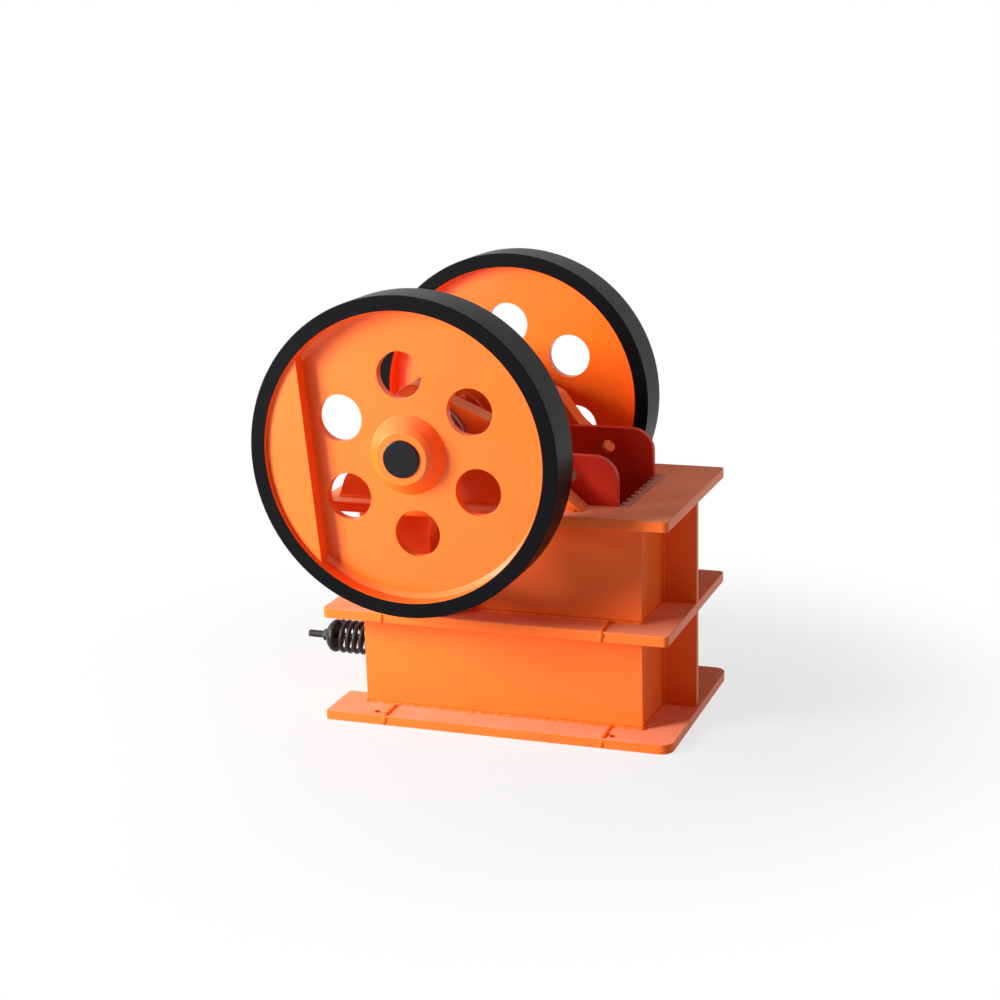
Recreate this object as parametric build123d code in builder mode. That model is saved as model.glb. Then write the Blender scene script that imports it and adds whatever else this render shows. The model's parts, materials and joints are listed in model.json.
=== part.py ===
"""Small jaw crusher for stone, on a welded box frame with two flywheels.

Millimetres. The origin is the centre of the anchor holes on the base flange's underside,
+X points to the feed end, +Y to the left side as seen by someone facing that way, and +Z up.
"""

import os
from math import acos, atan2, cos, degrees, hypot, pi, radians, sin

from build123d import *

os.makedirs("parts", exist_ok=True)

# Flange rings
flange_length = 754.0
flange_width = 484.0
flange_thickness = 22.0
flange_corner = 12.0
base_front_overhang = 6.0
base_side_overhang = 4.0
base_thickness = 20.0
base_front_corner = 28.0
base_rear_corner = 4.0
rear_slot_inset = 27.0
rear_slot_length = 150.0
anchor_rear_inset = 112.0
anchor_front_inset = 127.0
anchor_side_inset = 24.0
anchor_radius = 8.0

# Walls of the two tiers and their stiffeners
lower_height = 206.0
upper_height = 214.0
wall_thickness = 25.0
wall_side_inset = 72.0
wall_rear_inset = 64.0
wall_front_inset = 73.0
front_wall_thickness = 33.0
rear_wall_thickness = 40.0
front_rib_thickness = 16.0
side_rib_thickness = 18.0
side_rib_inset = 4.0
side_rib_ahead = 10.5

# Crushing chamber
cheek_thickness = 18.0
cheek_rise = 101.5
cheek_top_length = 190.0
cheek_toe_length = 80.0
cheek_foot_rise = 25.0
cheek_nose_radius = 50.0
cheek_hole_radius = 14.0
cheek_hole_back = 99.0
cheek_hole_drop = 41.5
gape = 148.0
nip_angle = 17.2
jaw_foot_rise = 109.0
jaw_side_gap = 1.0
tooth_count = 8
tooth_root = 12.0
tooth_height = 12.0
tooth_tip_share = 0.28
tooth_foot_share = 0.80

# Shaft and bearings
shaft_back = 400.0
shaft_rise = 128.0
throw = 8.0
eccentric_radius = 58.0
eccentric_inset = 18.0
journal_radius = 43.0
nose_radius = 38.0
nose_length = 5.0
running_gap = 0.05
seat_gap = 0.1
bearing_radius = 68.0
pedestal_side_gap = 7.0
pedestal_thickness = 52.0
cover_radius = 82.0
cover_thickness = 14.0

# Flywheels
wheel_radius = 325.0
rim_depth = 31.0
rim_width = 100.0
rim_side_gap = 27.0
web_thickness = 20.0
web_recess = 44.0
web_flare = 9.0
hub_radius = 63.0
hub_reach = 15.0
hub_recess = 7.0
hub_edge = 10.0
hub_flare = 18.0
hub_flare_length = 26.0
hole_count = 6
hole_radius = 48.0
hole_circle_radius = 161.0
wheel_phase = 35.0
weight_chord = 204.0
weight_angle = 185.0
weight_recess = 10.0

# Bearing pedestal outline, as distances from the shaft axis
pedestal_rear_foot = 214.0
pedestal_front_foot = 319.0
pedestal_heel_back = 199.0
pedestal_heel_rise = 40.0
pedestal_peak_back = 53.0
pedestal_peak_rise = 127.0
pedestal_brow_ahead = 156.0
pedestal_brow_rise = 36.0
pedestal_knee_ahead = 198.0
pedestal_knee_drop = 22.0
pedestal_peak_round = 40.0
pedestal_brow_round = 20.0
pedestal_knee_round = 60.0

# Moving jaw
barrel_radius = 128.0
barrel_bore_radius = 72.0
pitman_side_gap = 5.0
end_cover_radius = 104.0
end_cover_thickness = 10.0
slab_thickness = 36.0
slab_rise = 45.0
toe_lip = 16.0
toe_lip_length = 20.0
neck_drop = 40.0
pitman_rib_thickness = 24.0
jaw_plate_side_gap = 2.0
wedge_height = 40.0
wedge_depth = 18.0
wedge_nose = 10.0

# Toggle plate and its seats
toggle_thickness = 24.0
toggle_side_inset = 27.0
toggle_front_back = 157.5
toggle_front_rise = 21.0
toggle_rear_ahead = 40.5
toggle_rear_rise = 35.0
toggle_seat_gap = 0.3
groove_depth = 6.0
boss_half_height = 28.0
block_half_height = 36.0
block_side_overhang = 10.0

# Tension rod and spring
rod_radius = 7.5
rod_drop = 48.0
rod_tip_length = 50.0
rod_hole_radius = 20.0
rod_pin_back = 4.0
rod_pin_radius = 9.0
rod_eye_radius = 19.0
rod_eye_thickness = 24.0
ear_radius = 20.0
ear_thickness = 14.0
ear_gap = 2.0
pin_overhang = 6.0
spring_radius = 32.5
wire_radius = 5.5
wire_sides = 6
coil_turns = 7
coil_steps = 14
spring_length = 140.0
cup_radius = 37.0
cup_edge = 11.0
cup_length = 23.5
cup_tip_radius = 24.0
nut_width = 24.0
nut_length = 12.0

# Places that follow from the sizes above
base_length = flange_length + base_front_overhang
base_width = flange_width + 2 * base_side_overhang
anchor_span_x = base_length - anchor_rear_inset - anchor_front_inset
anchor_span_y = base_width - 2 * anchor_side_inset
rear_x = -anchor_span_x / 2 - anchor_rear_inset
flange_front_x = rear_x + flange_length
wall_rear_x = rear_x + wall_rear_inset
wall_front_x = flange_front_x - wall_front_inset
wall_outer_y = flange_width / 2 - wall_side_inset
wall_inner_y = wall_outer_y - wall_thickness
cheek_inner_y = wall_inner_y - cheek_thickness
seat_x = wall_front_x - front_wall_thickness
jaw_thickness = tooth_root + tooth_height
cheek_front_x = seat_x - jaw_thickness
rear_wall_face_x = wall_rear_x + rear_wall_thickness
rear_slot_width = 2 * (wall_inner_y - rear_slot_inset)
chamber_rear_x = rear_x + rear_slot_length
lower_z = base_thickness
middle_z = lower_z + lower_height
upper_z = middle_z + flange_thickness
top_z = upper_z + upper_height
deck_z = top_z + flange_thickness
jaw_foot_z = lower_z + jaw_foot_rise
jaw_height = deck_z - jaw_foot_z
fixed_teeth_width = 2 * (cheek_inner_y - jaw_side_gap)
pitman_width = 2 * (cheek_inner_y - pitman_side_gap)
moving_jaw_width = pitman_width - 2 * jaw_plate_side_gap
moving_jaw_length = jaw_height / cos(radians(nip_angle))
shaft_x = seat_x - shaft_back
shaft_z = deck_z + shaft_rise
pedestal_inner_y = wall_inner_y + pedestal_side_gap
pedestal_outer_y = pedestal_inner_y + pedestal_thickness
cover_outer_y = pedestal_outer_y + cover_thickness
rim_inner_radius = wheel_radius - rim_depth
rim_inner_y = base_width / 2 + rim_side_gap
rim_outer_y = rim_inner_y + rim_width
web_outer_y = rim_outer_y - web_recess
web_inner_y = web_outer_y - web_thickness
hub_inner_y = rim_inner_y - hub_reach
hub_outer_y = rim_outer_y - hub_recess
toggle_front_x = seat_x - toggle_front_back
toggle_front_z = jaw_foot_z + toggle_front_rise
toggle_rear_x = rear_wall_face_x + toggle_rear_ahead
toggle_rear_z = toggle_front_z + toggle_rear_rise
toggle_width = pitman_width - 2 * toggle_side_inset
rod_z = toggle_front_z - rod_drop
rod_pin_x = toggle_front_x - rod_pin_back
spring_end_x = wall_rear_x - spring_length
rod_tip_x = spring_end_x - cup_length - rod_tip_length
sides = {"right": -1, "left": 1}

shaft_axis = Axis((shaft_x, 0, shaft_z), (0, 1, 0))
# Half sections of turned pieces are drawn on this plane: along the shaft, then outwards.
shaft_section = Plane((shaft_x, 0, shaft_z), x_dir=(0, 1, 0), z_dir=(1, 0, 0))


def save(part, name):
    """Label a finished piece and write it as a file of its own."""
    part.label = name
    export_step(part, f"parts/{name}.step")


def side_plane(side, inner_y, outer_y):
    """Plane of X and Z from which an extrusion by outer_y - inner_y fills that side's slice."""
    return Plane.XZ.offset(inner_y if side < 0 else -outer_y)


def jaw_point(along, behind):
    """Point in X and Z, measured down the moving jaw's tooth tips and back from them."""
    lean = radians(nip_angle)
    tip_x = seat_x - jaw_thickness - gape
    return (
        tip_x + along * sin(lean) - behind * cos(lean),
        deck_z - along * cos(lean) - behind * sin(lean),
    )


def barrel_tangent(point, turn):
    """Where a line from point touches the pitman's barrel, on the side that turn gives."""
    dx = point[0] - shaft_x
    dz = point[1] - shaft_z
    angle = atan2(dz, dx) + turn * acos(barrel_radius / hypot(dx, dz))
    return (shaft_x + barrel_radius * cos(angle), shaft_z + barrel_radius * sin(angle))


def plate_box(x_range, y_range, z_range):
    """A flat plate between two limits on each axis."""
    spans = (x_range, y_range, z_range)
    middle = tuple((low + high) / 2 for low, high in spans)
    with BuildPart() as plate:
        with Locations(middle):
            Box(*(high - low for low, high in spans))
    return plate.part


def side_range(side, inner_y, outer_y):
    """Limits in Y of a piece that lies between two distances from the middle."""
    return tuple(sorted((side * inner_y, side * outer_y)))


def flange_ring(length, width, thickness, bottom_z, front_corner, rear_corner):
    """One flange: a plate with rounded corners, open over the chamber and out to the rear."""
    with BuildPart() as ring:
        with BuildSketch(Plane.XY.offset(bottom_z)) as outline:
            with Locations((rear_x + length / 2, 0)):
                Rectangle(length, width)
            fillet(outline.vertices().group_by(Axis.X)[0], rear_corner)
            fillet(outline.vertices().group_by(Axis.X)[-1], front_corner)
            with Locations((seat_x, 0)):
                Rectangle(
                    seat_x - chamber_rear_x,
                    2 * wall_inner_y,
                    align=(Align.MAX, Align.CENTER),
                    mode=Mode.SUBTRACT,
                )
            with Locations((chamber_rear_x, 0)):
                Rectangle(
                    rear_slot_length,
                    rear_slot_width,
                    align=(Align.MAX, Align.CENTER),
                    mode=Mode.SUBTRACT,
                )
        extrude(amount=thickness)
    return ring.part


def turned(section):
    """A piece turned about the shaft's axis, from points along the shaft and outwards."""
    with BuildPart() as piece:
        with BuildSketch(shaft_section):
            Polygon(*section, align=None)
        revolve(axis=shaft_axis)
    return piece.part


# Base flange, with four anchor holes
with BuildPart() as base_flange:
    add(flange_ring(base_length, base_width, base_thickness, 0, base_front_corner, base_rear_corner))
    with Locations((0, 0, base_thickness)):
        with GridLocations(anchor_span_x, anchor_span_y, 2, 2):
            Hole(anchor_radius, base_thickness)
save(base_flange.part, "base_flange")

# Middle and top flanges
for flange_name, bottom_z in {"middle_flange": middle_z, "top_flange": top_z}.items():
    flange = flange_ring(
        flange_length, flange_width, flange_thickness, bottom_z, flange_corner, flange_corner
    )
    save(flange, flange_name)

# Walls of both tiers, the front ones with a rib in the middle
tiers = {"lower": (lower_z, middle_z), "upper": (upper_z, top_z)}
for tier, heights in tiers.items():
    for side_name, side in sides.items():
        wall_y = side_range(side, wall_inner_y, wall_outer_y)
        save(plate_box((wall_rear_x, wall_front_x), wall_y, heights), f"{tier}_{side_name}_wall")
    front_wall = plate_box((seat_x, wall_front_x), (-wall_inner_y, wall_inner_y), heights)
    save(front_wall, f"{tier}_front_wall")
    rib_y = (-front_rib_thickness / 2, front_rib_thickness / 2)
    save(plate_box((wall_front_x, flange_front_x), rib_y, heights), f"{tier}_front_rib")

# Upright ribs on the side walls under the bearings
side_rib_x = shaft_x + side_rib_ahead
for side_name, side in sides.items():
    rib_x = (side_rib_x - side_rib_thickness / 2, side_rib_x + side_rib_thickness / 2)
    rib_y = side_range(side, wall_outer_y, flange_width / 2 - side_rib_inset)
    save(plate_box(rib_x, rib_y, (upper_z, top_z)), f"{side_name}_side_rib")

# Rear wall through both tiers, notched round the flanges, with a hole for the rod
with BuildPart() as rear_wall:
    with BuildSketch(Plane.YZ.offset(wall_rear_x)):
        for low_z, high_z in tiers.values():
            with Locations((0, (low_z + high_z) / 2)):
                Rectangle(2 * wall_inner_y, high_z - low_z)
        with Locations((0, lower_z)):
            Rectangle(rear_slot_width, deck_z - lower_z, align=(Align.CENTER, Align.MIN))
        with Locations((0, rod_z)):
            Circle(rod_hole_radius, mode=Mode.SUBTRACT)
    extrude(amount=rear_wall_thickness)
save(rear_wall.part, "rear_wall")

# Bearing pedestals: thick profiled plates on the top flange, bored for the bearings
pedestal_outline = (
    (shaft_x - pedestal_rear_foot, deck_z),
    (shaft_x - pedestal_heel_back, deck_z + pedestal_heel_rise),
    (shaft_x - pedestal_peak_back, shaft_z + pedestal_peak_rise),
    (shaft_x + pedestal_brow_ahead, shaft_z + pedestal_brow_rise),
    (shaft_x + pedestal_knee_ahead, shaft_z - pedestal_knee_drop),
    (shaft_x + pedestal_front_foot, deck_z),
)
pedestal_roundings = (pedestal_peak_round, pedestal_brow_round, pedestal_knee_round)
for side_name, side in sides.items():
    with BuildPart() as pedestal:
        with BuildSketch(side_plane(side, pedestal_inner_y, pedestal_outer_y)) as outline:
            Polygon(*pedestal_outline, align=None)
            for corner, rounding in zip(pedestal_outline[2:5], pedestal_roundings):
                fillet(outline.vertices().sort_by_distance((*corner, 0))[0], rounding)
            with Locations((shaft_x, shaft_z)):
                Circle(bearing_radius, mode=Mode.SUBTRACT)
        extrude(amount=pedestal_thickness)
    save(pedestal.part, f"{side_name}_bearing_pedestal")

    # Flanged bearing in the pedestal, with the shaft's journal running in it
    bearing = turned(
        (
            (side * pedestal_inner_y, journal_radius + running_gap),
            (side * pedestal_inner_y, bearing_radius - seat_gap),
            (side * pedestal_outer_y, bearing_radius - seat_gap),
            (side * pedestal_outer_y, cover_radius),
            (side * cover_outer_y, cover_radius),
            (side * cover_outer_y, journal_radius + running_gap),
        )
    )
    save(bearing, f"{side_name}_bearing")

# Cheek plates: liners of the chamber that stand above the top flange
cheek_top_z = deck_z + cheek_rise
cheek_bottom_z = jaw_foot_z + cheek_foot_rise
for side_name, side in sides.items():
    with BuildPart() as cheek:
        with BuildSketch(side_plane(side, cheek_inner_y, wall_inner_y)) as outline:
            Polygon(
                (cheek_front_x, cheek_bottom_z),
                (cheek_front_x, cheek_top_z),
                (cheek_front_x - cheek_top_length, cheek_top_z),
                (cheek_front_x - cheek_top_length, deck_z),
                (cheek_front_x - cheek_toe_length, cheek_bottom_z),
                align=None,
            )
            nose = outline.vertices().group_by(Axis.Y)[-1].sort_by(Axis.X)[-1]
            fillet(nose, cheek_nose_radius)
            with Locations((cheek_front_x - cheek_hole_back, cheek_top_z - cheek_hole_drop)):
                Circle(cheek_hole_radius, mode=Mode.SUBTRACT)
        extrude(amount=cheek_thickness)
    save(cheek.part, f"{side_name}_cheek_plate")


def toothed_outline(width, margin, count, start):
    """Corners of a jaw plate's section: a flat back, teeth up from the root, and high margins."""
    pitch = width / tooth_count
    edge = width / 2 + margin
    corners = [(edge, 0), (-edge, 0)]
    if margin:
        corners.append((-edge, jaw_thickness))
        corners.append((-width / 2, jaw_thickness))
    corners.append((-width / 2, tooth_root))
    for number in range(count):
        middle = -width / 2 + (start + number + 0.5) * pitch
        foot = tooth_foot_share * pitch / 2
        tip = tooth_tip_share * pitch / 2
        corners.append((middle - foot, tooth_root))
        corners.append((middle - tip, jaw_thickness))
        corners.append((middle + tip, jaw_thickness))
        corners.append((middle + foot, tooth_root))
    corners.append((width / 2, tooth_root))
    if margin:
        corners.append((width / 2, jaw_thickness))
        corners.append((edge, jaw_thickness))
    return corners


# Fixed jaw plate, upright against the front wall, with margins that the cheek plates hold
fixed_seat = Plane((seat_x, 0, jaw_foot_z), x_dir=(0, 1, 0), z_dir=(0, 0, 1))
with BuildPart() as fixed_jaw_plate:
    with BuildSketch(fixed_seat):
        Polygon(*toothed_outline(fixed_teeth_width, cheek_thickness, tooth_count, 0), align=None)
    extrude(amount=jaw_height)
save(fixed_jaw_plate.part, "fixed_jaw_plate")

# Moving jaw plate, whose teeth face the gaps of the fixed one
jaw_toe = jaw_point(moving_jaw_length, jaw_thickness)
lean = radians(nip_angle)
moving_seat = Plane(
    (jaw_toe[0], 0, jaw_toe[1]), x_dir=(0, -1, 0), z_dir=(-sin(lean), 0, cos(lean))
)
with BuildPart() as moving_jaw_plate:
    with BuildSketch(moving_seat):
        Polygon(*toothed_outline(moving_jaw_width, 0, tooth_count - 1, 0.5), align=None)
    extrude(amount=moving_jaw_length)
save(moving_jaw_plate.part, "moving_jaw_plate")

# Pitman: barrel on the shaft, neck, jaw slab with a toe lip, ribs, toggle boss and rod ears
slab_back = jaw_thickness + slab_thickness
slab_top = jaw_point(-slab_rise, jaw_thickness)
neck_root = jaw_point(neck_drop, slab_back)
toe_back = jaw_point(moving_jaw_length + toe_lip, slab_back)
boss_face_x = toggle_front_x + toggle_thickness / 2 + toggle_seat_gap - groove_depth
boss_top_z = toggle_front_z + boss_half_height
boss_bottom_z = toggle_front_z - boss_half_height
ear_inner_y = rod_eye_thickness / 2 + ear_gap
with BuildPart() as pitman:
    with BuildSketch(Plane.XZ):
        Polygon(
            barrel_tangent(slab_top, 1),
            slab_top,
            jaw_toe,
            jaw_point(moving_jaw_length, jaw_thickness - toe_lip_length),
            jaw_point(moving_jaw_length + toe_lip, jaw_thickness - toe_lip_length),
            toe_back,
            neck_root,
            barrel_tangent(neck_root, -1),
            (shaft_x, shaft_z),
            align=None,
        )
        with Locations((shaft_x, shaft_z)):
            Circle(barrel_radius)
        Polygon(
            (boss_face_x, boss_bottom_z),
            (boss_face_x, boss_top_z),
            jaw_point(moving_jaw_length - 2 * boss_half_height, slab_back),
            toe_back,
            align=None,
        )
    extrude(amount=pitman_width / 2, both=True)
    rib_y = pitman_width / 2 - pitman_rib_thickness / 2
    for middle_y in (-rib_y, 0, rib_y):
        with BuildSketch(Plane.XZ.offset(middle_y)):
            Polygon(
                barrel_tangent(neck_root, -1),
                neck_root,
                jaw_point(moving_jaw_length - boss_half_height, slab_back),
                (boss_face_x, boss_top_z),
                align=None,
            )
        extrude(amount=pitman_rib_thickness / 2, both=True)
    for side in sides.values():
        with BuildSketch(side_plane(side, ear_inner_y, ear_inner_y + ear_thickness)):
            with Locations((rod_pin_x, rod_z)):
                Circle(ear_radius)
                Rectangle(2 * ear_radius, 2 * ear_radius, align=(Align.MIN, Align.CENTER))
                Circle(rod_pin_radius + seat_gap, mode=Mode.SUBTRACT)
        extrude(amount=ear_thickness)
    with BuildSketch(Plane.XZ):
        with Locations((shaft_x, shaft_z)):
            Circle(barrel_bore_radius)
        with Locations((toggle_front_x, toggle_front_z)):
            Circle(toggle_thickness / 2 + toggle_seat_gap)
    extrude(amount=pitman_width / 2, both=True, mode=Mode.SUBTRACT)
save(pitman.part, "pitman")

# Covers on the ends of the barrel, which run on the shaft's journals
for side_name, side in sides.items():
    with BuildPart() as end_cover:
        with BuildSketch(side_plane(side, pitman_width / 2, pitman_width / 2 + end_cover_thickness)):
            with Locations((shaft_x, shaft_z)):
                Circle(end_cover_radius)
                Circle(journal_radius + running_gap, mode=Mode.SUBTRACT)
        extrude(amount=end_cover_thickness)
    save(end_cover.part, f"{side_name}_barrel_cover")

# Wedge bar that holds the moving jaw plate's upper end
with BuildPart() as jaw_wedge:
    with BuildSketch(Plane.XZ):
        Polygon(
            jaw_point(0, jaw_thickness),
            jaw_point(0, jaw_thickness - wedge_depth),
            jaw_point(wedge_nose - wedge_height, jaw_thickness - wedge_nose),
            jaw_point(-wedge_height, jaw_thickness),
            align=None,
        )
    extrude(amount=moving_jaw_width / 2, both=True)
save(jaw_wedge.part, "jaw_wedge")

# Toggle plate with round ends, and the block behind it
toggle_span_x = toggle_front_x - toggle_rear_x
toggle_span_z = toggle_front_z - toggle_rear_z
with BuildPart() as toggle_plate:
    with BuildSketch(Plane.XZ):
        with Locations(
            ((toggle_front_x + toggle_rear_x) / 2, (toggle_front_z + toggle_rear_z) / 2)
        ):
            SlotCenterToCenter(
                hypot(toggle_span_x, toggle_span_z),
                toggle_thickness,
                rotation=degrees(atan2(toggle_span_z, toggle_span_x)),
            )
    extrude(amount=toggle_width / 2, both=True)
save(toggle_plate.part, "toggle_plate")

block_face_x = toggle_rear_x - toggle_thickness / 2 - toggle_seat_gap + groove_depth
with BuildPart() as toggle_block:
    with BuildSketch(Plane.XZ):
        with Locations((rear_wall_face_x, toggle_rear_z)):
            Rectangle(
                block_face_x - rear_wall_face_x,
                2 * block_half_height,
                align=(Align.MIN, Align.CENTER),
            )
        with Locations((toggle_rear_x, toggle_rear_z)):
            Circle(toggle_thickness / 2 + toggle_seat_gap, mode=Mode.SUBTRACT)
    extrude(amount=toggle_width / 2 + block_side_overhang, both=True)
save(toggle_block.part, "toggle_block")

# Tension rod with an eye on the pitman's pin
with BuildPart() as tension_rod:
    with BuildSketch(Plane.XZ):
        with Locations((rod_pin_x, rod_z)):
            Circle(rod_eye_radius)
    extrude(amount=rod_eye_thickness / 2, both=True)
    with BuildSketch(Plane.YZ.offset(rod_tip_x)):
        with Locations((0, rod_z)):
            Circle(rod_radius)
    extrude(amount=rod_pin_x - rod_tip_x)
    with BuildSketch(Plane.XZ):
        with Locations((rod_pin_x, rod_z)):
            Circle(rod_pin_radius + seat_gap)
    extrude(amount=rod_eye_thickness, both=True, mode=Mode.SUBTRACT)
save(tension_rod.part, "tension_rod")

with BuildPart() as rod_pin:
    with BuildSketch(Plane.XZ):
        with Locations((rod_pin_x, rod_z)):
            Circle(rod_pin_radius)
    extrude(amount=ear_inner_y + ear_thickness + pin_overhang, both=True)
save(rod_pin.part, "rod_pin")

# Coil spring behind the rear wall, in short straight lengths of wire
coil_start_x = wall_rear_x - wire_radius - seat_gap
coil_length = spring_length - 2 * (wire_radius + seat_gap)
coil_points = []
for step in range(coil_turns * coil_steps + 1):
    turn = 2 * pi * step / coil_steps
    along = coil_length * step / (coil_turns * coil_steps)
    coil_points.append(
        (coil_start_x - along, spring_radius * cos(turn), rod_z + spring_radius * sin(turn))
    )
with BuildPart() as tension_spring:
    with BuildLine() as coil:
        Polyline(*coil_points)
    with BuildSketch(Plane(coil.line @ 0, z_dir=coil.line % 0)):
        RegularPolygon(wire_radius, wire_sides)
    sweep(path=coil.line, transition=Transition.RIGHT)
save(tension_spring.part, "tension_spring")

# Domed cup that the spring pushes on, and the nut behind it
with BuildPart() as spring_cup:
    with BuildSketch(Plane.XZ):
        Polygon(
            (spring_end_x, rod_z + rod_radius + seat_gap),
            (spring_end_x, rod_z + cup_radius),
            (spring_end_x - cup_edge, rod_z + cup_radius),
            (spring_end_x - cup_length, rod_z + cup_tip_radius),
            (spring_end_x - cup_length, rod_z + rod_radius + seat_gap),
            align=None,
        )
    revolve(axis=Axis((spring_end_x, 0, rod_z), (1, 0, 0)))
save(spring_cup.part, "spring_cup")

with BuildPart() as rod_nut:
    with BuildSketch(Plane.YZ.offset(spring_end_x - cup_length)):
        with Locations((0, rod_z)):
            RegularPolygon(nut_width / 2, 6, major_radius=False)
            Circle(rod_radius + seat_gap, mode=Mode.SUBTRACT)
    extrude(amount=-nut_length)
save(rod_nut.part, "rod_nut")

# Eccentric shaft, with noses that stand out of the hubs
nose_y = hub_outer_y + nose_length
half_section = (
    (nose_y, nose_radius),
    (cover_outer_y, nose_radius),
    (cover_outer_y, journal_radius),
)
mirrored_section = tuple((-along, outward) for along, outward in reversed(half_section))
with BuildPart() as eccentric_shaft:
    add(turned(((nose_y, 0), *half_section, *mirrored_section, (-nose_y, 0))))
    with BuildSketch(Plane.XZ):
        swing = radians(weight_angle)
        with Locations((shaft_x - throw * cos(swing), shaft_z - throw * sin(swing))):
            Circle(eccentric_radius)
    extrude(amount=pitman_width / 2 - eccentric_inset, both=True)
save(eccentric_shaft.part, "eccentric_shaft")

# Flywheels: a rim, and a web with its hub, six round holes and a counterweight
weight_outer_y = rim_outer_y - weight_recess
for side_name, side in sides.items():
    rim = turned(
        (
            (side * rim_inner_y, rim_inner_radius),
            (side * rim_inner_y, wheel_radius),
            (side * rim_outer_y, wheel_radius),
            (side * rim_outer_y, rim_inner_radius),
        )
    )
    save(rim, f"{side_name}_flywheel_rim")

    with BuildPart() as web:
        add(
            turned(
                (
                    (side * hub_inner_y, nose_radius + seat_gap),
                    (side * hub_inner_y, hub_radius),
                    (side * web_inner_y, hub_radius),
                    (side * web_inner_y, rim_inner_radius),
                    (side * (web_outer_y + web_flare), rim_inner_radius),
                    (side * web_outer_y, rim_inner_radius - web_flare),
                    (side * web_outer_y, hub_radius + hub_flare),
                    (side * (web_outer_y + hub_flare_length), hub_radius),
                    (side * (hub_outer_y - hub_edge), hub_radius),
                    (side * hub_outer_y, hub_radius - hub_edge),
                    (side * hub_outer_y, nose_radius + seat_gap),
                )
            )
        )
        with BuildSketch(side_plane(side, web_inner_y, web_outer_y)):
            with Locations((shaft_x, shaft_z)):
                with PolarLocations(hole_circle_radius, hole_count, start_angle=wheel_phase):
                    Circle(hole_radius)
        extrude(amount=web_thickness, mode=Mode.SUBTRACT)
        with BuildSketch(side_plane(side, web_outer_y, weight_outer_y)):
            with Locations(Location((shaft_x, shaft_z), weight_angle)):
                Circle(rim_inner_radius)
                with Locations((weight_chord, 0)):
                    Rectangle(
                        2 * wheel_radius,
                        2 * wheel_radius,
                        align=(Align.MAX, Align.CENTER),
                        mode=Mode.SUBTRACT,
                    )
        extrude(amount=weight_outer_y - web_outer_y)
    save(web.part, f"{side_name}_flywheel_web")
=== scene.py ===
# %% [markdown]
# # A small jaw crusher
# The machine crushes stone between two toothed plates. Its body is a welded box of orange plates,
# and two heavy flywheels turn an eccentric shaft that nods the moving jaw. The shapes and places
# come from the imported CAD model, so this lesson starts by loading it and noting its box.

# %% Load the CAD frame
import json
from math import cos, radians, sin

import bmesh
import bpy
from mathutils import Matrix, Vector


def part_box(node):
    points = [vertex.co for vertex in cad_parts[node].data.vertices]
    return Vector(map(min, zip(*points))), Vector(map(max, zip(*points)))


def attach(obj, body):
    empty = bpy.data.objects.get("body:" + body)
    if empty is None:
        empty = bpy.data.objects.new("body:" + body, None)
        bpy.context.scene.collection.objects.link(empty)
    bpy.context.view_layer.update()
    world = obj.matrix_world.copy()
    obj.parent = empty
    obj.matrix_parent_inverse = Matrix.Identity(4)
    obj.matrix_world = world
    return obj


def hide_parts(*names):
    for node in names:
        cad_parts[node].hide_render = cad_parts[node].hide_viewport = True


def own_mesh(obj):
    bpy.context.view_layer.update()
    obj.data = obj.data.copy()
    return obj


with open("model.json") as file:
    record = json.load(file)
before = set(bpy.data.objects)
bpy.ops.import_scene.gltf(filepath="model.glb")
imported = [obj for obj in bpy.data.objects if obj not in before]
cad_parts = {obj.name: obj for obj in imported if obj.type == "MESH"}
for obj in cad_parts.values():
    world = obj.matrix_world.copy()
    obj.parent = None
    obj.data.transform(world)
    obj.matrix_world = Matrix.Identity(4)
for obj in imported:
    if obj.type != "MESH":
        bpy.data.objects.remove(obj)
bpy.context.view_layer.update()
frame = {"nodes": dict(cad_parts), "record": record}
cad_nodes = frame["nodes"]
record = frame["record"]
body_of_node = {
    node: body for body, members in record["behaviour"]["bodies"].items() for node in members
}
slot_of_node = {row["node"]: row["material_slot"] for row in record["subparts"]}

# %% [markdown]
# ## Camera
# The photograph looks at the machine's right side from a little above and a little ahead of the
# middle. A long lens keeps the upright edges nearly parallel. The camera is placed by its angles
# round the machine, because those are easier to read and to change than a bare matrix.

# %% Place the camera
azimuth = radians(20.08)
elevation = radians(14.3)
roll = radians(-1.48)
look_at = Vector((-0.0537, 0.0, 0.4428))
camera_distance = 4.137

backward = Vector(
    (sin(azimuth) * cos(elevation), -cos(azimuth) * cos(elevation), sin(elevation))
)
level_right = Vector((cos(azimuth), sin(azimuth), 0.0))
level_up = backward.cross(level_right)
view_right = level_right * cos(roll) + level_up * sin(roll)
view_up = level_up * cos(roll) - level_right * sin(roll)
view_turn = Matrix((view_right, view_up, backward)).transposed()

camera_data = bpy.data.cameras.new("camera")
camera_data.lens = 69.36
camera_data.sensor_width = 36.0
camera = bpy.data.objects.new("camera", camera_data)
bpy.context.collection.objects.link(camera)
camera.matrix_world = (
    Matrix.Translation(look_at + backward * camera_distance) @ view_turn.to_4x4()
)
bpy.context.scene.camera = camera
print("camera at", [round(v, 3) for v in camera.matrix_world.translation])

# %% [markdown]
# ## Light and floor
# The machine stood in an open shop, with a wide soft light from the front left that comes in low.
# A tall area lamp gives that light, and three weaker lamps stand for the roof, the far end of the
# shop and a small window. A dim world fills the shadows. To the eye and to reflections it is full
# white, which keeps the background clean without adding light. The floor takes the shadow near
# the machine and fades to white farther out.

# %% World and view
scene = bpy.context.scene
scene.view_settings.view_transform = "Standard"
ambient_strength = 0.12


def math_node(tree, operation, first, second):
    """A Math node on two sockets or numbers, giving its output socket."""
    node = tree.nodes.new("ShaderNodeMath")
    node.operation = operation
    for slot_number, value in enumerate((first, second)):
        if isinstance(value, (int, float)):
            node.inputs[slot_number].default_value = value
        else:
            tree.links.new(value, node.inputs[slot_number])
    return node.outputs[0]


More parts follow.
